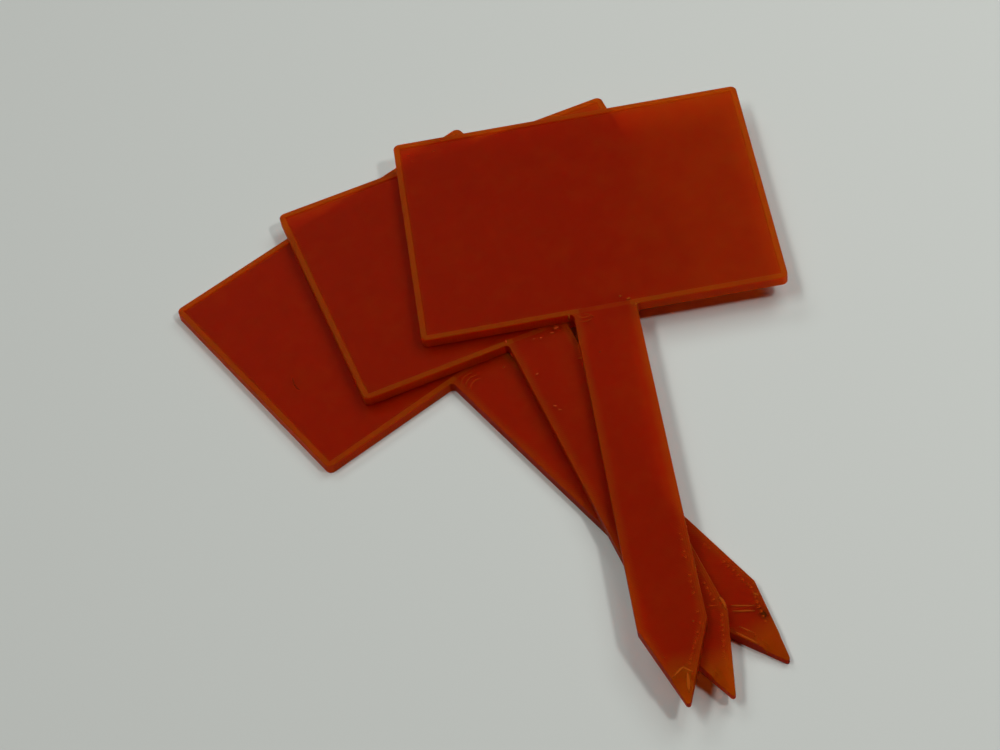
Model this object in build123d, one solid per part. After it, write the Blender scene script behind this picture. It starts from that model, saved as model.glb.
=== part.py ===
from build123d import *
import os

# Three plant labels for pots and beds, lying as a fan on a flat surface.
# Each label is one piece of plastic: a wide head with a raised rim round a writing panel,
# and a flat stake with a point that pushes into the soil.
# The origin is on the underside of the bottom label, at the middle of the line where its
# head meets its stake. +Y runs up that label's head and +Z is up.

# Head of one label
head_width = 70.0
head_height = 51.5
head_corner_radius = 1.2
label_thickness = 2.2

# Raised rim and the panel that it frames
rim_width = 1.1
panel_depth = 0.3
panel_corner_radius = 0.4

# Stake of one label: straight from the head down to its two bends, then a point
stake_width = 12.0
stake_length = 70.5
shoulder_radius = 0.9
bend_radius = 0.6
point_length = 16.0
point_radius = 0.45

# Sharpened end of the point: two facets that fall away from a ridge on the centre line
facet_length = 6.2
facet_notch = 1.2
facet_step = 0.2
ridge_end_thickness = 1.0
facet_fall = 0.5

# Fan: how far each label is turned from the bottom one, clockwise seen from above, and
# where the two stakes' centre lines cross, as shares of the stake's length
middle_turn_degrees = 16.5
middle_cross_on_bottom_share = 0.630
middle_cross_on_own_share = 0.606
top_turn_degrees = 30.7
top_cross_on_bottom_share = 0.706
top_cross_on_own_share = 0.671

# How far a cutter runs past the faces it cuts
overrun = 1.0

label_length = stake_length + point_length


def corners_near(outline, height):
    """The outline's two corners on the stake's sides at a height along the label."""
    return [
        corner for corner in outline.vertices()
        if abs(corner.Y - height) < bend_radius and abs(abs(corner.X) - stake_width / 2) < bend_radius
    ]


def label_outline():
    """Outline of a label seen from above, as a face on the table plane."""
    head = Pos(0, head_height / 2) * RectangleRounded(head_width, head_height, head_corner_radius)
    half_stake = stake_width / 2
    stake = make_face(Polyline(
        (-half_stake, head_corner_radius),
        (-half_stake, -stake_length),
        (0, -label_length),
        (half_stake, -stake_length),
        (half_stake, head_corner_radius),
        close=True,
    ))
    outline = head + stake
    outline = fillet(corners_near(outline, 0), shoulder_radius)
    outline = fillet(corners_near(outline, -stake_length), bend_radius)
    return fillet(outline.vertices().sort_by(Axis.Y)[0], point_radius)


def panel_recess():
    """Shallow pocket that leaves the rim standing round the head."""
    pocket = Pos(0, head_height / 2) * RectangleRounded(
        head_width - 2 * rim_width, head_height - 2 * rim_width, panel_corner_radius)
    floor = label_thickness - panel_depth
    return Pos(0, 0, floor) * extrude(pocket, amount=panel_depth + overrun)


def facet_cutter(side):
    """What is cut away above one facet of the point; side is -1 for left, 1 for right."""
    facet_start = facet_length - label_length
    notch_end = facet_start - facet_notch
    reach = stake_width / 2
    # the facet starts along a slanted line, from the centre line outwards and downwards
    half_width_at_notch = reach * (notch_end + label_length) / point_length
    slant = facet_notch / half_width_at_notch
    plan = make_face(Polyline(
        (0, facet_start),
        (side * reach, facet_start - slant * reach),
        (side * reach, -label_length - overrun),
        (0, -label_length - overrun),
        close=True,
    ))
    ridge_start = Vector(0, facet_start, label_thickness - facet_step)
    ridge_end = Vector(0, -label_length, ridge_end_thickness)
    edge_start = Vector(side * half_width_at_notch, notch_end, label_thickness - facet_step - facet_fall)
    along = ridge_end - ridge_start
    across = edge_start - ridge_start
    upward = across.cross(along) * side
    if upward.Z < 0:
        upward = upward * -1
    facet = Plane(origin=ridge_start, x_dir=along, z_dir=upward)
    block = extrude(plan, amount=label_thickness + overrun)
    return split(block, bisect_by=facet, keep=Keep.TOP)


def make_label():
    """One label, lying face up with its shoulder line on the X axis."""
    label = extrude(label_outline(), amount=label_thickness)
    label = label - panel_recess()
    for side in (-1, 1):
        label = label - facet_cutter(side)
    return label


def fanned(label, level, turn_degrees, on_bottom_share, on_own_share):
    """Place a label on the stack, crossing the bottom label's stake at the given shares."""
    crossing = Pos(0, -on_bottom_share * stake_length, level * label_thickness)
    own_drop = Pos(0, on_own_share * stake_length)
    return crossing * Rot(0, 0, -turn_degrees) * own_drop * label


label = make_label()
pieces = {
    "bottom_label": label,
    "middle_label": fanned(label, 1, middle_turn_degrees, middle_cross_on_bottom_share, middle_cross_on_own_share),
    "top_label": fanned(label, 2, top_turn_degrees, top_cross_on_bottom_share, top_cross_on_own_share),
}

os.makedirs("parts", exist_ok=True)
for name, piece in pieces.items():
    export_step(piece, f"parts/{name}.step")
    print(name, "solids", len(piece.solids()), "volume", round(piece.volume, 2))
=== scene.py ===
import math
import bmesh
import bpy
from mathutils import Matrix, Vector


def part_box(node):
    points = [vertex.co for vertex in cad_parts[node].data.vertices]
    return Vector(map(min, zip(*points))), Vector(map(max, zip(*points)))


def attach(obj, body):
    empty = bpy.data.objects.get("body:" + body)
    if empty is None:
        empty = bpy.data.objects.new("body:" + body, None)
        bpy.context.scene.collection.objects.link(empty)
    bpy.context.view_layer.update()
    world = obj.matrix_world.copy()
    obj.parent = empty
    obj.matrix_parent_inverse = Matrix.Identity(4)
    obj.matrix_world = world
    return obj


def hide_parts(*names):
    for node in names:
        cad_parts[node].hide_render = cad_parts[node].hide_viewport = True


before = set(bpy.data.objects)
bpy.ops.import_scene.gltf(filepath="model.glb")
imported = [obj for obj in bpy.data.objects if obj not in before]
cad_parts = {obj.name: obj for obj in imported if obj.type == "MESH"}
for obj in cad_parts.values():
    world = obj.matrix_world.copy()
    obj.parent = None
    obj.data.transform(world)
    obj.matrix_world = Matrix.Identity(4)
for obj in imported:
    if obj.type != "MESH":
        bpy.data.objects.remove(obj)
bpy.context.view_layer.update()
scene = bpy.context.scene
mm = 0.001


# The camera looks down at the fan from the stakes' side, as the photograph does.
# Its lens, tilt and roll were fitted to the straight edges of the three labels.
camera_place = Vector((-134.92, -238.53, 344.50)) * mm
camera_heading = math.radians(-30.2922)
camera_tilt = math.radians(38.335)
camera_roll = math.radians(-10.283)

camera_data = bpy.data.cameras.new("camera")
camera_data.sensor_width = 36.0
camera_data.lens = 83.934
camera = bpy.data.objects.new("camera", camera_data)
scene.collection.objects.link(camera)
camera.matrix_world = (
    Matrix.Translation(camera_place)
    @ Matrix.Rotation(camera_heading, 4, "Z")
    @ Matrix.Rotation(camera_tilt, 4, "X")
    @ Matrix.Rotation(camera_roll, 4, "Z")
)
scene.camera = camera
scene.view_settings.view_transform = "Standard"


# The bottom label lies flat on the table. It is one print in orange plastic, laid down in
# eleven layers: a head with a raised rim round a shallow panel, and a stake with a point.
low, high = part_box("bottom_label")
head_width = high.x - low.x
head_height = high.y
label_thickness = high.z - low.z
stake_width = 12.0 * mm
stake_length = 70.5 * mm
point_length = 16.0 * mm
head_corner_radius = 1.2 * mm
shoulder_radius = 0.9 * mm
bend_radius = 0.6 * mm
tip_radius = 0.45 * mm
contact_gap = 0.02 * mm

# the wall's layers, each bulging a little between its grooves
layer_count = 11
layer_height = label_thickness / layer_count
layer_groove = 0.035 * mm
foot_share = 0.1
bulge_start_share, bulge_end_share = 0.35, 0.65

# the rim, three lines of plastic wide, round the sunken panel
line_width = 0.367 * mm
rim_lines = 3
rim_width = line_width * rim_lines
line_groove = 0.025 * mm
groove_side_share = 0.2
groove_side_depth_share = 0.3
top_edge_radius = 0.12 * mm
panel_depth = 0.3 * mm

# the bevelled end of the point: two facets that fall away from a ridge
facet_length = 6.2 * mm
facet_notch = 1.2 * mm
facet_half_width = 2.3 * mm
facet_step = 0.06 * mm
facet_fall = 0.7 * mm
ridge_offset = 0.35 * mm
ridge_half_width = 0.35 * mm
ridge_drop = 1.0 * mm

# how finely the outline and the stake's top are divided
edge_step = 0.6 * mm
arc_steps = 6
stake_columns = 24


def outline_corners():
    """Corners of a label's outline, anticlockwise from the right shoulder, with their radii."""
    half_head = head_width / 2
    half_stake = stake_width / 2
    return [
        (half_stake, 0, shoulder_radius),
        (half_head, 0, head_corner_radius),
        (half_head, head_height, head_corner_radius),
        (-half_head, head_height, head_corner_radius),
        (-half_head, 0, head_corner_radius),
        (-half_stake, 0, shoulder_radius),
        (-half_stake, -stake_length, bend_radius),
        (0, -stake_length - point_length, tip_radius),
        (half_stake, -stake_length, bend_radius),
    ]


def offset_ring(inset):
    """The outline moved inwards: each corner's arc and the straight after it, with the same counts."""
    corners = outline_corners()
    count = len(corners)
    points = [Vector(corner[:2]) for corner in corners]
    arcs = []
    for index, (x, y, radius) in enumerate(corners):
        here = points[index]
        before = (here - points[index - 1]).normalized()
        after = (points[(index + 1) % count] - here).normalized()
        inward_before = Vector((-before.y, before.x))
        inward_after = Vector((-after.y, after.x))
        moved = here + inset * (inward_before + inward_after) / (1 + inward_before.dot(inward_after))
        turn = math.atan2(before.cross(after), before.dot(after))
        side = 1 if turn > 0 else -1
        round_radius = max(radius - side * inset, 0)
        start = moved - before * round_radius * math.tan(abs(turn) / 2)
        centre = start + inward_before * round_radius * side
        arc = []
        for step in range(arc_steps + 1):
            angle = turn * step / arc_steps
            arm = Matrix.Rotation(angle, 2) @ (start - centre)
            arc.append(centre + arm)
        arcs.append(arc)
    ring = []
    for index, arc in enumerate(arcs):
        following = arcs[(index + 1) % count][0]
        span = (points[(index + 1) % count] - points[index]).length
        steps = max(2, round(span / edge_step))
        straight = [arc[-1].lerp(following, step / steps) for step in range(1, steps)]
        ring.append((arc, straight))
    return ring


def split_ring(inset):
    """The ring's two stretches: round the head, and from the left shoulder round the stake."""
    ring = offset_ring(inset)
    head = [ring[0][0][-1]] + ring[0][1]
    for arc, straight in ring[1:5]:
        head += arc + straight
    head.append(ring[5][0][0])
    stake = list(ring[5][0]) + ring[5][1]
    for arc, straight in ring[6:]:
        stake += arc + straight
    stake += ring[0][0]
    return head, stake


def facet_height(x, y):
    """Height of the two bevelled facets above the table at a place on the point."""
    start = -stake_length - point_length + facet_length - abs(x) * facet_notch / facet_half_width
    beyond = start - y
    if beyond <= 0:
        return label_thickness
    fall = ridge_drop * beyond / facet_length
    aside = max(abs(x - ridge_offset) - ridge_half_width, 0)
    return label_thickness - facet_step - fall - facet_fall * aside / facet_half_width


def label_section():
    """Inset and height of each ring, from the underside up the layered wall and over the rim."""
    rings = [(3 * layer_groove, contact_gap), (layer_groove, foot_share * layer_height)]
    for layer in range(layer_count - 1):
        base = layer * layer_height
        rings.append((0, base + bulge_start_share * layer_height))
        rings.append((0, base + bulge_end_share * layer_height))
        rings.append((layer_groove, base + layer_height))
    top = label_thickness
    rings.append((0, top - bulge_end_share * layer_height))
    # the small round between the wall and the top
    for inset_share, drop_share in ((0.15, 0.6), (0.9, 0.0)):
        rings.append((inset_share * top_edge_radius, top - drop_share * top_edge_radius))
    groove_side = groove_side_share * line_width
    side_height = top - groove_side_depth_share * line_groove
    for line in range(1, rim_lines + 1):
        groove = line * line_width
        if line > 1:
            rings.append((groove - line_width / 2, top))
        rings.append((groove - groove_side, side_height))
        if line < rim_lines:
            rings.append((groove, top - line_groove))
            rings.append((groove + groove_side, side_height))
    return rings


def keep_own_place(mesh):
    """Stores each vertex's place on its own label, which the pattern of the plastic follows."""
    attribute = mesh.attributes.new("own_place", "FLOAT_VECTOR", "POINT")
    attribute.data.foreach_set("vector", [value for vertex in mesh.vertices for value in vertex.co])


def make_label_mesh(name, spots):
    """The whole label in its own place, shoulder line on the X axis, as one closed skin."""
    verts, faces, flat_faces = [], [], []

    def add(point, height):
        height = min(height, facet_height(point.x, point.y))
        verts.append((point.x, point.y, height))
        return len(verts) - 1

    def bridge(lower, upper):
        count = len(lower)
        for index in range(count):
            following = (index + 1) % count
            faces.append((lower[index], lower[following], upper[following], upper[index]))

    previous = None
    for inset, height in label_section():
        head, stake = split_ring(inset)
        ring = [add(point, height) for point in head + stake[1:-1]]
        if previous is None:
            faces.append(tuple(reversed(ring)))
            flat_faces.append(len(faces) - 1)
        else:
            bridge(previous, ring)
        if inset <= layer_groove:
            wall_faces = range(1, len(faces))
        previous = ring

    head_count = len(head)
    head_ring = previous[:head_count]
    stake_ring = [previous[head_count - 1]] + previous[head_count:] + [previous[0]]

    # the line that carries the rim across the top of the stake
    columns = range(1, stake_columns)
    across = [add(stake[0].lerp(stake[-1], column / stake_columns), label_thickness) for column in columns]

    # the pocket: down the rim's inner side to the panel, by distance in mm and share of the depth
    pocket = head_ring + across
    for inwards, depth_share in ((0.05, 0.35), (0.12, 0.8), (0.22, 1.0)):
        head = split_ring(rim_width + inwards * mm)[0]
        loop = head + [head[-1].lerp(head[0], column / stake_columns) for column in columns]
        ring = [add(point, label_thickness - depth_share * panel_depth) for point in loop]
        bridge(pocket, ring)
        pocket = ring
    faces.append(tuple(pocket))
    flat_faces.append(len(faces) - 1)

    # the stake's top, row by row from the shoulder line down to the point
    row_count = len(stake_ring) // 2
    upper_row = [stake_ring[0]] + across + [stake_ring[-1]]
    for row in range(1, row_count):
        left_index, right_index = stake_ring[row], stake_ring[-1 - row]
        left, right = Vector(verts[left_index][:2]), Vector(verts[right_index][:2])
        middle = [add(left.lerp(right, column / stake_columns), label_thickness) for column in columns]
        lower_row = [left_index] + middle + [right_index]
        for column in range(stake_columns):
            following = column + 1
            faces.append((upper_row[column], lower_row[column], lower_row[following], upper_row[following]))
        upper_row = lower_row
    tip = stake_ring[row_count]
    for column in range(stake_columns):
        faces.append((upper_row[column], tip, upper_row[column + 1]))

    mesh = bpy.data.meshes.new(name)
    mesh.from_pydata(verts, [], faces)
    mesh.polygons.foreach_set("use_smooth", [index not in flat_faces for index in range(len(faces))])
    mesh.polygons.foreach_set("material_index", [int(index in wall_faces) for index in range(len(faces))])
    keep_own_place(mesh)
    # scorched spots in the plastic: middle and radius of each in mm on the label, and its strength
    shares = []
    for x, y, height in verts:
        dark = 0.0
        for across, up, radius, strength in spots:
            reach = ((x - across * mm) ** 2 + (y - up * mm) ** 2) / (radius * mm) ** 2
            dark = max(dark, strength * math.exp(-reach))
        shares.append(dark)
    scorch = mesh.attributes.new("scorch_share", "FLOAT", "POINT")
    scorch.data.foreach_set("value", shares)
    mesh.validate()
    return mesh


def combine(tree, operation, *values):
    """Adds a Math node to a shader tree; each value is a number or another node's output."""
    node = tree.nodes.new("ShaderNodeMath")
    node.operation = operation
    for socket, value in zip(node.inputs, values):
        if isinstance(value, (int, float)):
            socket.default_value = value
        else:
            tree.links.new(value, socket)
    return node.outputs[0]


def fade(tree, value, start, end):
    """Adds a smooth step, from 0 where the value is at start to 1 where it is at end."""
    node = tree.nodes.new("ShaderNodeMapRange")
    node.interpolation_type = "SMOOTHSTEP"
    tree.links.new(value, node.inputs["Value"])
    node.inputs["From Min"].default_value = start
    node.inputs["From Max"].default_value = end
    return node.outputs["Result"]


# places of the colours among a Mix node's sockets
first_colour, second_colour, mixed_colour = 6, 7, 2


def mix_colours(tree, share, first, second):
    """Adds a mix of two colours; each is a plain colour or another node's output."""
    node = tree.nodes.new("ShaderNodeMix")
    node.data_type = "RGBA"
    tree.links.new(share, node.inputs["Factor"])
    for place, colour in ((first_colour, first), (second_colour, second)):
        if isinstance(colour, tuple):
            node.inputs[place].default_value = colour
        else:
            tree.links.new(colour, node.inputs[place])
    return node.outputs[mixed_colour]


def start_group(name, inputs, outputs):
    """An empty shader group with named float inputs and outputs, and its two end nodes."""
    group = bpy.data.node_groups.new(name, "ShaderNodeTree")
    for socket_name, value in inputs.items():
        socket = group.interface.new_socket(socket_name, in_out="INPUT", socket_type="NodeSocketFloat")
        socket.default_value = value
    for socket_name in outputs:
        group.interface.new_socket(socket_name, in_out="OUTPUT", socket_type="NodeSocketFloat")
    return group, group.nodes.new("NodeGroupInput").outputs, group.nodes.new("NodeGroupOutput").inputs


def read_own_place(tree):
    """Place of a point on its own label, and its distances across and up the label in mm."""
    attribute = tree.nodes.new("ShaderNodeAttribute")
    attribute.attribute_name = "own_place"
    place = attribute.outputs["Vector"]
    parts = tree.nodes.new("ShaderNodeSeparateXYZ")
    tree.links.new(place, parts.inputs[0])
    across, up = [combine(tree, "MULTIPLY", parts.outputs[axis], 1 / mm) for axis in ("X", "Y")]
    return place, across, up


# where the painted glow starts and where it is full, in mm: in from the outline and up from the shoulder
# line;
# and across the label to its right side, where a weaker painted sheen grows, and that sheen's strength
rim_fade = (1.40, 0.90)
shoulder_fade = (-0.2, 0.2)
right_sheen_fade = (-5.0, 32.0)
right_sheen_share = 0.30


def make_outline_group():
    """How far a place is from the label's outline, and whether it is on the head or the point."""
    group, given, result = start_group("outline_distance", {
        "Head Width": head_width / mm, "Head Height": head_height / mm, "Stake Width": stake_width / mm,
        "Stake Length": stake_length / mm, "Point Length": point_length / mm,
    }, ["Distance", "Head", "Point", "Rim Line", "Right Sheen"])
    place, across, up = read_own_place(group)
    aside = combine(group, "ABSOLUTE", across)
    half_stake = combine(group, "DIVIDE", given["Stake Width"], 2.0)
    in_side = combine(group, "SUBTRACT", combine(group, "DIVIDE", given["Head Width"], 2.0), aside)
    in_top = combine(group, "SUBTRACT", given["Head Height"], up)
    in_stake = combine(group, "SUBTRACT", half_stake, aside)
    in_head = combine(group, "MINIMUM", in_side, in_top)
    in_head = combine(group, "MINIMUM", in_head, combine(group, "MAXIMUM", up, in_stake))
    to_tip = combine(group, "ADD", up, combine(group, "ADD", given["Stake Length"], given["Point Length"]))
    slope = combine(group, "DIVIDE", half_stake, given["Point Length"])
    in_point = combine(group, "SUBTRACT", combine(group, "MULTIPLY", to_tip, slope), aside)
    lean = combine(group, "COSINE", combine(group, "ARCTANGENT", slope))
    in_point = combine(group, "MULTIPLY", in_point, lean)
    in_stake = combine(group, "MINIMUM", in_stake, in_point)
    on_head = combine(group, "GREATER_THAN", up, 0.0)
    change = combine(group, "SUBTRACT", in_head, in_stake)
    distance = combine(group, "ADD", in_stake, combine(group, "MULTIPLY", on_head, change))
    group.links.new(distance, result["Distance"])
    group.links.new(on_head, result["Head"])
    group.links.new(combine(group, "DIVIDE", to_tip, given["Point Length"]), result["Point"])
    line = combine(group, "MULTIPLY", fade(group, up, *rim_fade), fade(group, up, *shoulder_fade))
    group.links.new(line, result["Rim Line"])
    # painted sheen: each label's right side is painted yellower, standing in for the light from the right
    right_sheen = combine(group, "MULTIPLY", fade(group, across, *right_sheen_fade), right_sheen_share)
    group.links.new(right_sheen, result["Right Sheen"])
    return group


def make_print_group():
    """The fine lines of the fill, laid at 45 degrees, and the unevenness of the plastic, sizes in mm."""
    group, given, result = start_group("print_lines", {
        "Line Width": 0.42, "Mottle Size": 6.0, "Grain Size": 2 / 7,
    }, ["Lines", "Mottle", "Grain"])
    place, across, up = read_own_place(group)
    along = combine(group, "MULTIPLY", combine(group, "ADD", across, up), math.sqrt(0.5))
    turns = combine(group, "MULTIPLY", combine(group, "DIVIDE", along, given["Line Width"]), math.pi)
    group.links.new(combine(group, "ABSOLUTE", combine(group, "SINE", turns)), result["Lines"])
    for output, detail in (("Mottle", 3.0), ("Grain", 1.0)):
        noise = group.nodes.new("ShaderNodeTexNoise")
        noise.inputs["Detail"].default_value = detail
        group.links.new(place, noise.inputs["Vector"])
        density = combine(group, "DIVIDE", 1 / mm, given[output + " Size"])
        group.links.new(density, noise.inputs["Scale"])
        group.links.new(noise.outputs["Fac"], result[output])
    return group


outline_group = make_outline_group()
print_group = make_print_group()

plastic_ior = 1.20
plastic_shine = (1.0, 0.25, 0.0, 1)
light_reach = 4.0 * mm
light_reach_by_colour = (1.0, 0.2, 0.05)
scorched_colour = (0.06, 0.002, 0.0, 1)
plastic_roughness = 0.40
mottled_roughness = 0.16

# how far in from the outline, in mm, or up the point, as a share of it, each change starts and ends
soft_edge_fade = (2.0, 0.0)
tip_fade = (0.75, 0.3)
hatch_fade = (3.0, 1.2)
relief_fade = (1.0, 1.3)

# how strongly each change shows
rim_line_share = 0.35
soft_edge_share = 0.6
mottle_share = 0.4
hatch_share = 0.35
hatch_level = 0.6
grain_share = 0.5
bump_strength = 0.35
bump_height = 0.02 * mm


def orange_plastic(name, panel_colour, rim_colour, through_share=0.0, glow_share=1.0):
    """Semi-gloss orange plastic that lets some light through, with a painted glow that makes its edges, rim
    and tip yellower.
    """
    material = bpy.data.materials.new(name)
    material.use_nodes = True
    tree = material.node_tree
    nodes, links = tree.nodes, tree.links
    shader = nodes["Principled BSDF"]
    shader.inputs["IOR"].default_value = plastic_ior
    shader.inputs["Transmission Weight"].default_value = through_share
    shader.inputs["Specular Tint"].default_value = plastic_shine
    shader.inputs["Subsurface Weight"].default_value = 1.0 if through_share else 0.0
    shader.inputs["Subsurface Scale"].default_value = light_reach
    shader.inputs["Subsurface Radius"].default_value = light_reach_by_colour

    outline = nodes.new("ShaderNodeGroup")
    outline.node_tree = outline_group
    lines = nodes.new("ShaderNodeGroup")
    lines.node_tree = print_group

    # painted glow and highlight: the rim, the stake's edges and the tip are painted yellower, for the light
    # that comes out at the edges and through the thin point, and for the light that the rounded edges catch
    distance, head = outline.outputs["Distance"], outline.outputs["Head"]
    rim = combine(tree, "MULTIPLY", fade(tree, distance, *rim_fade), head)
    rim_line = combine(tree, "MULTIPLY", outline.outputs["Rim Line"], rim_line_share)
    soft_edge = fade(tree, distance, *soft_edge_fade)
    soft_edge = combine(tree, "MULTIPLY", soft_edge, soft_edge_share * glow_share)
    tip = combine(tree, "MULTIPLY", fade(tree, outline.outputs["Point"], *tip_fade), glow_share)
    yellow = combine(tree, "MAXIMUM", rim, rim_line)
    yellow = combine(tree, "MAXIMUM", yellow, soft_edge)
    yellow = combine(tree, "MAXIMUM", yellow, tip)

    # it also varies over the whole label, its right side gets a painted sheen, and the fill's lines show
    # near the outline
    mottle = combine(tree, "SUBTRACT", lines.outputs["Mottle"], 0.5)
    yellow = combine(tree, "ADD", yellow, combine(tree, "MULTIPLY", mottle, mottle_share))
    yellow = combine(tree, "ADD", yellow, outline.outputs["Right Sheen"])
    hatch = combine(tree, "SUBTRACT", lines.outputs["Lines"], hatch_level)
    hatch = combine(tree, "MULTIPLY", hatch, fade(tree, distance, *hatch_fade))
    hatch = combine(tree, "MULTIPLY", hatch, lines.outputs["Mottle"])
    yellow = combine(tree, "ADD", yellow, combine(tree, "MULTIPLY", hatch, hatch_share))

    scorch = nodes.new("ShaderNodeAttribute")
    scorch.attribute_name = "scorch_share"
    colour = mix_colours(tree, yellow, panel_colour, rim_colour)
    colour = mix_colours(tree, scorch.outputs["Fac"], colour, scorched_colour)
    links.new(colour, shader.inputs["Base Color"])

    dullness = combine(tree, "MULTIPLY_ADD", lines.outputs["Mottle"], mottled_roughness, plastic_roughness)
    links.new(dullness, shader.inputs["Roughness"])
    relief = combine(tree, "MULTIPLY", lines.outputs["Lines"], fade(tree, distance, *relief_fade))
    relief = combine(tree, "ADD", relief, combine(tree, "MULTIPLY", lines.outputs["Grain"], grain_share))
    bump = nodes.new("ShaderNodeBump")
    bump.inputs["Strength"].default_value = bump_strength
    bump.inputs["Distance"].default_value = bump_height
    links.new(relief, bump.inputs["Height"])
    links.new(bump.outputs["Normal"], shader.inputs["Normal"])
    return material


# Each plastic's colour on the panel and its painted glow colour on the rim, and how much light goes through
# it.
# The layered wall has its own, painted brighter for the light that comes out of the edge.
label_plastic = orange_plastic(
    "orange_plastic", (0.475, 0.0145, 0.0, 1), (0.51, 0.082, 0.001, 1), through_share=0.65)
edge_plastic = orange_plastic(
    "edge_plastic", (0.50, 0.030, 0.0, 1), (0.86, 0.095, 0.001, 1), through_share=0.68, glow_share=0.0)


def place_label(name, body, matrix, spots=()):
    """Makes one label, puts it at its place in the fan and hands it to its body."""
    mesh = make_label_mesh(name, spots)
    mesh.transform(matrix)
    mesh.materials.append(label_plastic)
    mesh.materials.append(edge_plastic)
    label = bpy.data.objects.new(name, mesh)
    scene.collection.objects.link(label)
    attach(label, body)
    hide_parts(body)


bottom_place = Matrix.Identity(4)
scorched_spots = [(2.7, -75.0, 0.8, 0.5), (2.6, -76.5, 0.9, 0.9)]
place_label("bottom_label_print", "bottom_label", bottom_place, scorched_spots)


# The middle label is the same print, laid loose on the bottom one and turned clockwise.
# It is held by its own weight alone.
def fan_place(level, turn_degrees, cross_on_bottom_share, cross_on_own_share):
    """Place of a label whose stake crosses the bottom label's stake at the given shares."""
    crossing = Vector((0, -cross_on_bottom_share * stake_length, level * label_thickness))
    own_drop = Vector((0, cross_on_own_share * stake_length, 0))
    turn = Matrix.Rotation(math.radians(-turn_degrees), 4, "Z")
    return Matrix.Translation(crossing) @ turn @ Matrix.Translation(own_drop)


middle_place = fan_place(level=1, turn_degrees=16.5, cross_on_bottom_share=0.630, cross_on_own_share=0.606)
place_label("middle_label_print", "middle_label", middle_place)


# The top label is the third print of the same kind, turned further, on top of the fan.
# Its head overhangs the table on the right.
top_place = fan_place(level=2, turn_degrees=30.7, cross_on_bottom_share=0.706, cross_on_own_share=0.671)
place_label("top_label_print", "top_label", top_place)


# Inside the outline of each point, and some way up the stake's right side, the lines of the
# last layer turn round and stand a little proud: small loops of the same plastic, but lighter.
turn_plastic = orange_plastic("turn_plastic", (0.36, 0.033, 0.001, 1), (0.41, 0.044, 0.001, 1))
fill_line_width = 0.42 * mm
fill_angle = math.radians(45)
turn_inset = 1.30 * mm
turn_start_share = 0.75
turn_end_margin = 1.5 * mm
loop_height = 0.014 * mm
side_shown, right_shown, left_shown = 0.7, 0.9, 0.4

# one loop, in widths of a line: its bead's radius and the places of the curve that it follows
bead_radius = 0.30
bead_sides = 6
loop_points = 9
loop_curve = {
    "Start": (-1.5, -0.5, 0), "Start Handle": (0.8, -0.65, 0),
    "End Handle": (0.8, 0.65, 0), "End": (-1.5, 0.5, 0),
}
smallest_loop, largest_loop = 0.55, 1.10

# places of the plain numbers among a Random Value node's sockets
lowest_input, highest_input, number_output = 2, 3, 1


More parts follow.
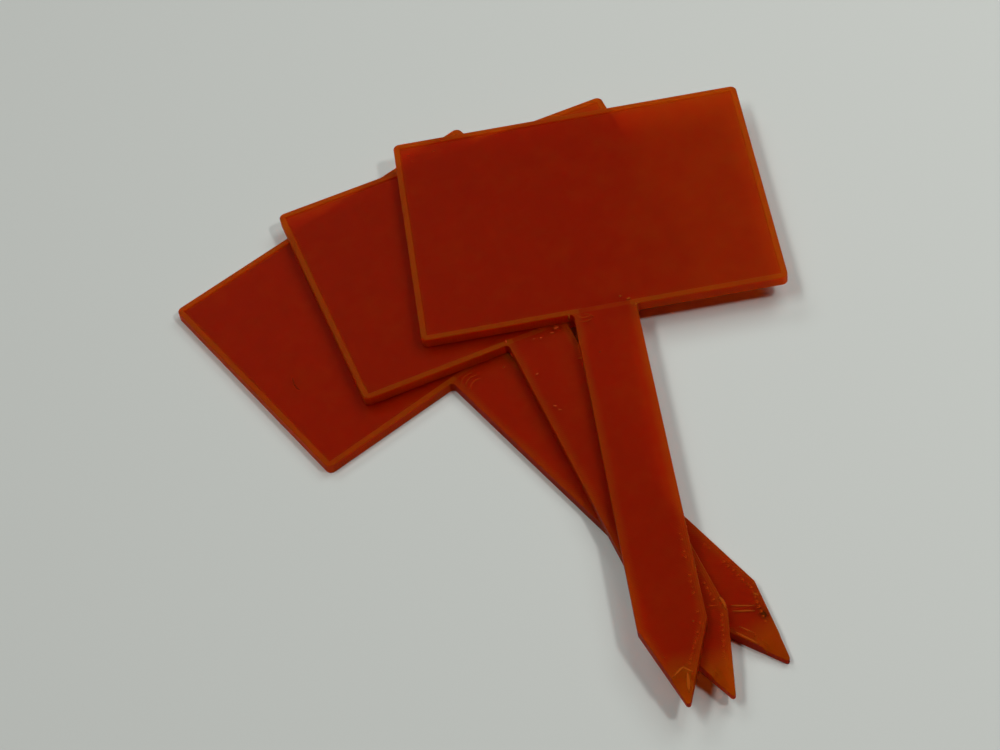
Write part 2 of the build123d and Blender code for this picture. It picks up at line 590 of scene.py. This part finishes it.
def make_turn_tree():
    """Geometry Nodes: loops along the runs of a mesh of lines, one for each turn of the fill."""
    tree = bpy.data.node_groups.new("fill_turns", "GeometryNodeTree")
    tree.is_modifier = True
    inputs = {"Runs": "Geometry", "Line Width": "Float", "Loop Height": "Float",
              "Seed": "Int", "Plastic": "Material"}
    for name, kind in inputs.items():
        tree.interface.new_socket(name, in_out="INPUT", socket_type="NodeSocket" + kind)
    tree.interface.new_socket("Loops", in_out="OUTPUT", socket_type="NodeSocketGeometry")
    links = tree.links

    def add(kind, **settings):
        node = tree.nodes.new("GeometryNode" + kind if not kind.startswith("Shader") else kind)
        for setting, value in settings.items():
            setattr(node, setting, value)
        return node

    given = tree.nodes.new("NodeGroupInput").outputs

    # places of the turns along each run
    runs = add("MeshToCurve")
    links.new(given["Runs"], runs.inputs["Mesh"])
    pitch = add("InputNamedAttribute", data_type="FLOAT")
    pitch.inputs["Name"].default_value = "turn_pitch"
    turns = add("ResampleCurve", mode="LENGTH")
    links.new(runs.outputs["Curve"], turns.inputs["Curve"])
    links.new(pitch.outputs["Attribute"], turns.inputs["Length"])

    # one loop: two legs that taper away to points, joined by a round turn
    loop = add("CurvePrimitiveBezierSegment")
    for socket, place in loop_curve.items():
        loop.inputs[socket].default_value = place
    smooth_loop = add("ResampleCurve", mode="COUNT")
    smooth_loop.inputs["Count"].default_value = loop_points
    links.new(loop.outputs["Curve"], smooth_loop.inputs["Curve"])
    along = add("SplineParameter")
    swell = add("ShaderNodeMath", operation="SINE")
    half_turn = add("ShaderNodeMath", operation="MULTIPLY")
    half_turn.inputs[1].default_value = math.pi
    links.new(along.outputs["Factor"], half_turn.inputs[0])
    links.new(half_turn.outputs[0], swell.inputs[0])
    section = add("CurvePrimitiveCircle")
    section.inputs["Resolution"].default_value = bead_sides
    section.inputs["Radius"].default_value = bead_radius
    bead = add("CurveToMesh")
    bead.inputs["Fill Caps"].default_value = True
    links.new(smooth_loop.outputs["Curve"], bead.inputs["Curve"])
    links.new(section.outputs["Curve"], bead.inputs["Profile Curve"])
    links.new(swell.outputs[0], bead.inputs["Scale"])

    # a share of each run's turns shows, each with its own size
    shown_share = add("InputNamedAttribute", data_type="FLOAT")
    shown_share.inputs["Name"].default_value = "shown_share"
    seen = add("ShaderNodeMath", operation="LESS_THAN")
    random_value = tree.nodes.new("FunctionNodeRandomValue")
    links.new(given["Seed"], random_value.inputs["Seed"])
    links.new(random_value.outputs[number_output], seen.inputs[0])
    links.new(shown_share.outputs["Attribute"], seen.inputs[1])
    size = tree.nodes.new("FunctionNodeRandomValue")
    size.inputs[lowest_input].default_value = smallest_loop
    size.inputs[highest_input].default_value = largest_loop
    links.new(given["Seed"], size.inputs["Seed"])
    width = add("ShaderNodeMath", operation="MULTIPLY")
    links.new(given["Line Width"], width.inputs[0])
    links.new(size.outputs[number_output], width.inputs[1])
    rise = add("ShaderNodeMath", operation="DIVIDE")
    links.new(given["Loop Height"], rise.inputs[0])
    rise.inputs[1].default_value = bead_radius
    scale = add("ShaderNodeCombineXYZ")
    links.new(width.outputs[0], scale.inputs["X"])
    links.new(width.outputs[0], scale.inputs["Y"])
    links.new(rise.outputs[0], scale.inputs["Z"])
    heading = add("InputNamedAttribute", data_type="FLOAT")
    heading.inputs["Name"].default_value = "turn_heading"
    turn = add("ShaderNodeCombineXYZ")
    links.new(heading.outputs["Attribute"], turn.inputs["Z"])
    placed = add("InstanceOnPoints")
    links.new(turns.outputs["Curve"], placed.inputs["Points"])
    links.new(seen.outputs[0], placed.inputs["Selection"])
    links.new(bead.outputs["Mesh"], placed.inputs["Instance"])
    links.new(turn.outputs["Vector"], placed.inputs["Rotation"])
    links.new(scale.outputs["Vector"], placed.inputs["Scale"])

    realized = add("RealizeInstances")
    links.new(placed.outputs["Instances"], realized.inputs["Geometry"])
    painted = add("SetMaterial")
    links.new(realized.outputs["Geometry"], painted.inputs["Geometry"])
    links.new(given["Plastic"], painted.inputs["Material"])
    result = tree.nodes.new("NodeGroupOutput")
    links.new(painted.outputs["Geometry"], result.inputs["Loops"])
    return tree


turn_tree = make_turn_tree()


def turn_runs():
    """Straight runs of turns inside the outline: two ends, pitch, heading and share that shows."""
    side = stake_width / 2 - turn_inset
    slope = math.atan2(stake_width / 2, point_length)
    point_start = -stake_length + turn_inset * math.tan(slope / 2)
    point_end = -stake_length - point_length + facet_length + turn_end_margin
    end_side = (point_end + stake_length + point_length) * math.tan(slope) - turn_inset / math.cos(slope)
    pair = 2 * fill_line_width
    straight_pitch = pair / math.sin(fill_angle)
    steep_pitch = pair / math.sin(fill_angle + slope)
    flat_pitch = pair / math.sin(fill_angle - slope)
    right, left = -fill_angle, math.pi - fill_angle
    return [
        ((side, -turn_start_share * stake_length), (side, point_start), straight_pitch, right, side_shown),
        ((side, point_start - steep_pitch), (end_side, point_end), steep_pitch, right, right_shown),
        ((-side, point_start - flat_pitch), (-end_side, point_end), flat_pitch, left, left_shown),
    ]


def add_fill_turns(name, body, matrix, seed):
    """The rows of turns on one label, as a plain mesh on that label's body."""
    verts, edges, pitches, headings, shares = [], [], [], [], []
    for start, end, pitch, heading, share in turn_runs():
        edges.append((len(verts), len(verts) + 1))
        verts += [(*start, label_thickness + loop_height), (*end, label_thickness + loop_height)]
        pitches += [pitch, pitch]
        headings += [heading, heading]
        shares += [share, share]
    lines = bpy.data.meshes.new(name + "_runs")
    lines.from_pydata(verts, edges, [])
    columns = {"turn_pitch": pitches, "turn_heading": headings, "shown_share": shares}
    for attribute_name, values in columns.items():
        attribute = lines.attributes.new(attribute_name, "FLOAT", "POINT")
        attribute.data.foreach_set("value", values)
    guide = bpy.data.objects.new(name + "_runs", lines)
    scene.collection.objects.link(guide)
    modifier = guide.modifiers.new("fill_turns", "NODES")
    modifier.node_group = turn_tree
    values = {"Line Width": fill_line_width, "Loop Height": loop_height, "Seed": seed,
              "Plastic": turn_plastic}
    for item in turn_tree.interface.items_tree:
        if item.in_out == "INPUT" and item.name in values:
            modifier[item.identifier] = values[item.name]
    evaluated = guide.evaluated_get(bpy.context.evaluated_depsgraph_get())
    mesh = bpy.data.meshes.new_from_object(evaluated)
    bpy.data.objects.remove(guide)
    mesh.name = name
    keep_own_place(mesh)
    mesh.transform(matrix)
    loops = bpy.data.objects.new(name, mesh)
    scene.collection.objects.link(loops)
    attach(loops, body)


add_fill_turns("bottom_label_turns", "bottom_label", bottom_place, seed=3)
add_fill_turns("middle_label_turns", "middle_label", middle_place, seed=5)
add_fill_turns("top_label_turns", "top_label", top_place, seed=8)


# Drips, blobs and hair-thin strings are what the nozzle left behind: bits of the same
# plastic, a tenth to half a millimetre thick, stuck to the rims, shoulders and points.
# They are too thin to hold much light back, so they look a little yellower than the label.
thin_plastic = orange_plastic("thin_plastic", (0.27, 0.042, 0.003, 1), (0.32, 0.053, 0.003, 1))
# a lighter copy with painted light, for the middle label's lumps that lie in the top label's shade
painted_light_plastic = orange_plastic("painted_light_plastic", (0.36, 0.037, 0.006, 1), (0.43, 0.047, 0.008, 1))
bit_sides = 8
upright_limit = 0.1


def add_bits(name, body, matrix, bits, plastic):
    """Small rounded bits on one label: a path of (across, up, height, half width) in mm, and how flat."""
    verts, faces = [], []
    for path, flatness in bits:
        points = [Vector(point[:3]) * mm for point in path]
        first = len(verts)
        for index, point in enumerate(points):
            before = points[max(index - 1, 0)]
            after = points[min(index + 1, len(points) - 1)]
            course = (after - before).normalized()
            aside = course.cross(Vector((0, 0, 1)))
            aside = aside.normalized() if aside.length > upright_limit else Vector((1, 0, 0))
            rise = aside.cross(course).normalized() * flatness
            radius = path[index][3] * mm
            for side in range(bit_sides):
                angle = 2 * math.pi * side / bit_sides
                verts.append(point + radius * (math.cos(angle) * aside + math.sin(angle) * rise))
        for index in range(len(points) - 1):
            row = first + index * bit_sides
            next_row = row + bit_sides
            for side in range(bit_sides):
                following = (side + 1) % bit_sides
                faces.append((row + side, row + following, next_row + following, next_row + side))
        faces.append(tuple(reversed(range(first, first + bit_sides))))
        faces.append(tuple(range(len(verts) - bit_sides, len(verts))))
    mesh = bpy.data.meshes.new(name)
    mesh.from_pydata(verts, [], faces)
    mesh.polygons.foreach_set("use_smooth", [True] * len(mesh.polygons))
    shell = bmesh.new()
    shell.from_mesh(mesh)
    bmesh.ops.recalc_face_normals(shell, faces=shell.faces)
    shell.to_mesh(mesh)
    shell.free()
    keep_own_place(mesh)
    mesh.transform(matrix)
    mesh.materials.append(plastic)
    piece = bpy.data.objects.new(name, mesh)
    scene.collection.objects.link(piece)
    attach(piece, body)


# heights of the bits' middles, in mm above the label's underside
on_top = 2.18
over_top = 2.22
on_panel = 1.93
above_facet = 0.02

blob_steps = 6
blob_end_share = 0.08
string_end_share = 0.25
string_end_phase = 0.08


def blob(across, up, height, size, length=0.0, heading=0.0):
    """Path of a small lump, longer along its heading if it has a length."""
    turn = math.radians(heading)
    reach = length / 2 + size
    path = []
    for step in range(blob_steps + 1):
        share = 2 * step / blob_steps - 1
        swell = max(math.sqrt(max(1 - share ** 2, 0)), blob_end_share)
        place_across = across + share * reach * math.cos(turn)
        place_up = up + share * reach * math.sin(turn)
        path.append((place_across, place_up, height, size * swell))
    return path


def on_point(places):
    """Path of a ridge that lies on the facets of the point; each place is (across, up, half width)."""
    path = []
    for across, up, width in places:
        height = facet_height(across * mm, up * mm) / mm + above_facet
        path.append((across, up, height, width))
    return path


def string(points, size, height=over_top):
    """Path of a thin string through places on the label, tapered at both ends."""
    path = []
    for index, (across, up) in enumerate(points):
        phase = string_end_phase + (1 - 2 * string_end_phase) * index / (len(points) - 1)
        swell = string_end_share + (1 - string_end_share) * math.sin(math.pi * phase)
        path.append((across, up, height, size * swell))
    return path


# Each bit is its path and its flatness. On the top label: a drip down the wall beside the left
# shoulder, lumps on the rim and the stake, and ridges along the facets of the point.
top_bits = [
    ([(-6.9, 0.15, 2.15, 0.10), (-6.92, -0.08, 2.1, 0.17), (-6.95, -0.30, 1.8, 0.20),
      (-6.98, -0.38, 1.4, 0.17), (-7.0, -0.40, 1.1, 0.06)], 1.0),
    (blob(4.7, 1.45, on_top, 0.30, 0.25, 20), 0.55),
    (blob(3.3, 2.6, on_panel, 0.22, 0.1, 0), 0.35),
    (blob(5.9, -0.2, on_top, 0.18, 0.8, 60), 0.5),
    (blob(-2.6, -10.0, on_top, 0.14, 0.2, 30), 0.4),
    (blob(3.55, -70.7, on_top, 0.16, 0.1, 0), 0.4),
    (on_point([(0.5, -79.0, 0.06), (0.1, -79.25, 0.20), (-0.5, -79.7, 0.24),
               (-1.1, -80.2, 0.20), (-1.8, -80.9, 0.06)]), 0.15),
    (on_point([(0.1, -79.2, 0.06), (0.6, -79.5, 0.20), (1.2, -80.0, 0.18), (1.8, -80.5, 0.06)]), 0.15),
    (on_point([(0.75, -80.4, 0.10), (0.75, -81.0, 0.30), (0.65, -82.0, 0.36),
               (0.5, -83.0, 0.30), (0.4, -83.8, 0.10)]), 0.10),
]

# fine lumps in the panel's upper left corner, and strings below the shoulder line
top_strings = [
    (blob(-27.1, 48.3, on_panel, 0.12, 0.9, 20), 0.3),
    (blob(-31.6, 46.6, on_panel, 0.16, 0.2, 0), 0.3),
    (blob(-32.2, 48.2, on_panel, 0.14, 0.2, 0), 0.3),
    (string([(-5.6, -0.5), (-4.9, -1.0), (-4.2, -1.3), (-3.5, -1.2), (-3.1, -0.8)], 0.10), 0.25),
    (string([(-5.2, -1.8), (-4.4, -2.2), (-3.5, -2.2), (-2.8, -1.7)], 0.10), 0.25),
    (string([(-4.3, -0.3), (-3.6, -0.5), (-2.9, -0.9), (-2.4, -1.6)], 0.10), 0.25),
    (string([(-6.9, -10.3), (-6.4, -10.45), (-5.7, -10.7)], 0.10, 1.9), 0.8),
]

# on the middle label: lumps along the shoulder line and the stake, a ridge on its right bend
middle_bits = [
    (blob(3.6, -0.35, 2.2, 0.34, 0.45, 10), 0.5),
    (blob(2.5, -1.1, on_top, 0.20, 0.5, -20), 0.4),
    (blob(0.1, -1.3, on_top, 0.22, 0.1, 0), 0.4),
    (blob(-1.2, -0.9, on_top, 0.16, 0.3, 0), 0.4),
    (blob(-3.85, -8.9, on_top, 0.22, 0.3, 20), 0.4),
    (blob(-3.7, -17.2, on_top, 0.22, 0.4, -30), 0.4),
    (blob(-3.2, -18.4, on_top, 0.14, 0.6, -40), 0.4),
    (blob(-6.1, 0.9, on_top, 0.2, 0.5, 80), 0.4),
]
middle_ridge = [
    ([(5.65, -67.6, 2.22, 0.10), (5.85, -68.2, 2.28, 0.28), (5.9, -69.0, 2.3, 0.32),
      (5.85, -69.8, 2.28, 0.26), (5.65, -70.5, 2.22, 0.08)], 0.35),
    (blob(-2.1, -79.6, 2.05, 0.2, 0.5, 30), 0.4),
]
middle_strings = [
    (string([(3.2, -68.3), (3.8, -68.7), (4.5, -69.1)], 0.10), 0.25),
]

# on the bottom label: raised lines on the point, a few lumps, and strings below the shoulder line
bottom_bits = [
    (string([(-0.4, -71.6), (0.6, -72.5), (1.6, -73.4), (2.6, -74.3)], 0.17), 0.12),
    (string([(-0.9, -72.6), (0.1, -73.5), (1.1, -74.3), (1.9, -75.1)], 0.20), 0.12),
    (string([(-3.4, -75.9), (-2.9, -77.5), (-2.4, -79.1), (-2.0, -80.6)], 0.20), 0.12),
    (string([(-2.2, -75.6), (-1.6, -77.0), (-1.1, -78.4)], 0.15), 0.12),
    (blob(3.3, -3.8, on_top, 0.14, 0.2, 0), 0.4),
    (blob(4.3, -72.7, 2.15, 0.26, 0.5, -60), 0.5),
    (blob(-1.9, -82.3, 1.5, 0.12, 0.2, -60), 0.6),
]
bottom_strings = [
    (string([(-5.0, -1.5), (-4.0, -0.6), (-2.9, -0.4), (-1.8, -0.8)], 0.10), 0.25),
    (string([(-4.9, -2.6), (-3.9, -1.7), (-2.8, -1.4), (-1.6, -1.8)], 0.10), 0.25),
    (string([(-4.8, -3.8), (-3.8, -2.9), (-2.6, -2.5), (-1.5, -3.0)], 0.10), 0.25),
]

add_bits("bottom_label_bits", "bottom_label", bottom_place, bottom_bits, thin_plastic)
add_bits("middle_label_bits", "middle_label", middle_place, middle_bits, painted_light_plastic)
add_bits("middle_label_ridge", "middle_label", middle_place, middle_ridge, thin_plastic)
add_bits("top_label_bits", "top_label", top_place, top_bits, thin_plastic)
add_bits("bottom_label_strings", "bottom_label", bottom_place, bottom_strings, turn_plastic)
add_bits("middle_label_strings", "middle_label", middle_place, middle_strings, turn_plastic)
add_bits("top_label_strings", "top_label", top_place, top_strings, turn_plastic)


# A flake of scorched plastic is pressed into the bottom label near its point, and a short
# dark string of plastic is stuck to its panel.
darkest_scorch = (0.050, 0.008, 0.0005, 1)
lightest_scorch = (0.080, 0.014, 0.0010, 1)
scorch_roughness = 0.6
scorch_ior = 1.10


def scorched_plastic():
    """Dull, nearly black red-brown plastic."""
    material = bpy.data.materials.new("scorched_plastic")
    material.use_nodes = True
    tree = material.node_tree
    shader = tree.nodes["Principled BSDF"]
    lines = tree.nodes.new("ShaderNodeGroup")
    lines.node_tree = print_group
    colour = mix_colours(tree, lines.outputs["Grain"], darkest_scorch, lightest_scorch)
    tree.links.new(colour, shader.inputs["Base Color"])
    shader.inputs["Roughness"].default_value = scorch_roughness
    shader.inputs["IOR"].default_value = scorch_ior
    shader.inputs["Specular Tint"].default_value = plastic_shine
    return material


flake = [(2.72, -75.6, 2.17, 0.08), (2.70, -76.0, 2.18, 0.30), (2.62, -76.5, 2.18, 0.42),
         (2.48, -77.0, 2.18, 0.34), (2.30, -77.4, 2.17, 0.08)]
flake_flatness = 0.10
scorched_bits = [(flake, flake_flatness)]
add_bits("bottom_label_scorch", "bottom_label", bottom_place, scorched_bits, scorched_plastic())

dark_plastic = orange_plastic("dark_plastic", (0.17, 0.011, 0.0, 1), (0.22, 0.015, 0.0, 1))
dark_places = [(-27.64, 22.1), (-27.95, 21.3), (-28.27, 20.5), (-28.4, 19.6), (-28.3, 18.8)]
dark_flatness = 0.3
dark_bits = [(string(dark_places, 0.16, height=1.92), dark_flatness)]
add_bits("bottom_label_dark_string", "bottom_label", bottom_place, dark_bits, dark_plastic)


# The table is a plain pale surface with a dull finish, three metres across, so that its
# edges lie well outside the view.
half_table = 1.5
table_colour = (0.540, 0.562, 0.528, 1)
table_roughness = 0.7
table_corners = [(-half_table, -half_table, 0), (half_table, -half_table, 0),
                 (half_table, half_table, 0), (-half_table, half_table, 0)]
table_mesh = bpy.data.meshes.new("table")
table_mesh.from_pydata(table_corners, [], [range(len(table_corners))])
table = bpy.data.objects.new("table", table_mesh)
scene.collection.objects.link(table)
table_paint = bpy.data.materials.new("table_paint")
table_paint.use_nodes = True
table_shader = table_paint.node_tree.nodes["Principled BSDF"]
table_shader.inputs["Base Color"].default_value = table_colour
table_shader.inputs["Roughness"].default_value = table_roughness
table_mesh.materials.append(table_paint)


# Four soft lamps stand round the fan: a long one on the left, a wide one at the back, and two
# that are nearer, a small one in front and one on the right. The room adds very little light.
fan_centre = Vector((5, -5, 0)) * mm


def add_lamp(name, across, up, distance, width, height, share, along):
    """A soft lamp: its direction as seen from above, its part of the light and its width's course."""
    direction = Vector((across, up, math.sqrt(1 - across ** 2 - up ** 2)))
    lamp_data = bpy.data.lights.new(name, "AREA")
    lamp_data.shape = "RECTANGLE"
    lamp_data.size = width
    lamp_data.size_y = height
    lamp_data.energy = share * (math.pi * distance) ** 2 / direction.z
    lamp = bpy.data.objects.new(name, lamp_data)
    scene.collection.objects.link(lamp)
    side = Vector((along[0], along[1], 0))
    side = (side - direction * side.dot(direction)).normalized()
    rise = direction.cross(side)
    turn = Matrix((side, rise, direction)).transposed().to_4x4()
    lamp.matrix_world = Matrix.Translation(fan_centre + direction * distance) @ turn


add_lamp("left_lamp", across=-0.36, up=0.21, distance=1.8,
         width=1.00, height=0.28, share=0.315, along=(0.35, 0.44))
add_lamp("front_lamp", across=0.30, up=-0.465, distance=0.7,
         width=0.090, height=0.060, share=0.225, along=(0.7, 0.7))
add_lamp("back_lamp", across=0.05, up=0.73, distance=1.8,
         width=1.00, height=0.50, share=0.12, along=(1, 0))
add_lamp("right_lamp", across=0.60, up=0.10, distance=0.6,
         width=0.333, height=0.40, share=0.305, along=(0, 1))

room_light = 0.006
room_colour = (1, 1, 1, 1)
world = bpy.data.worlds.new("studio")
world.use_nodes = True
background = world.node_tree.nodes["Background"]
background.inputs["Color"].default_value = room_colour
background.inputs["Strength"].default_value = room_light
scene.world = world
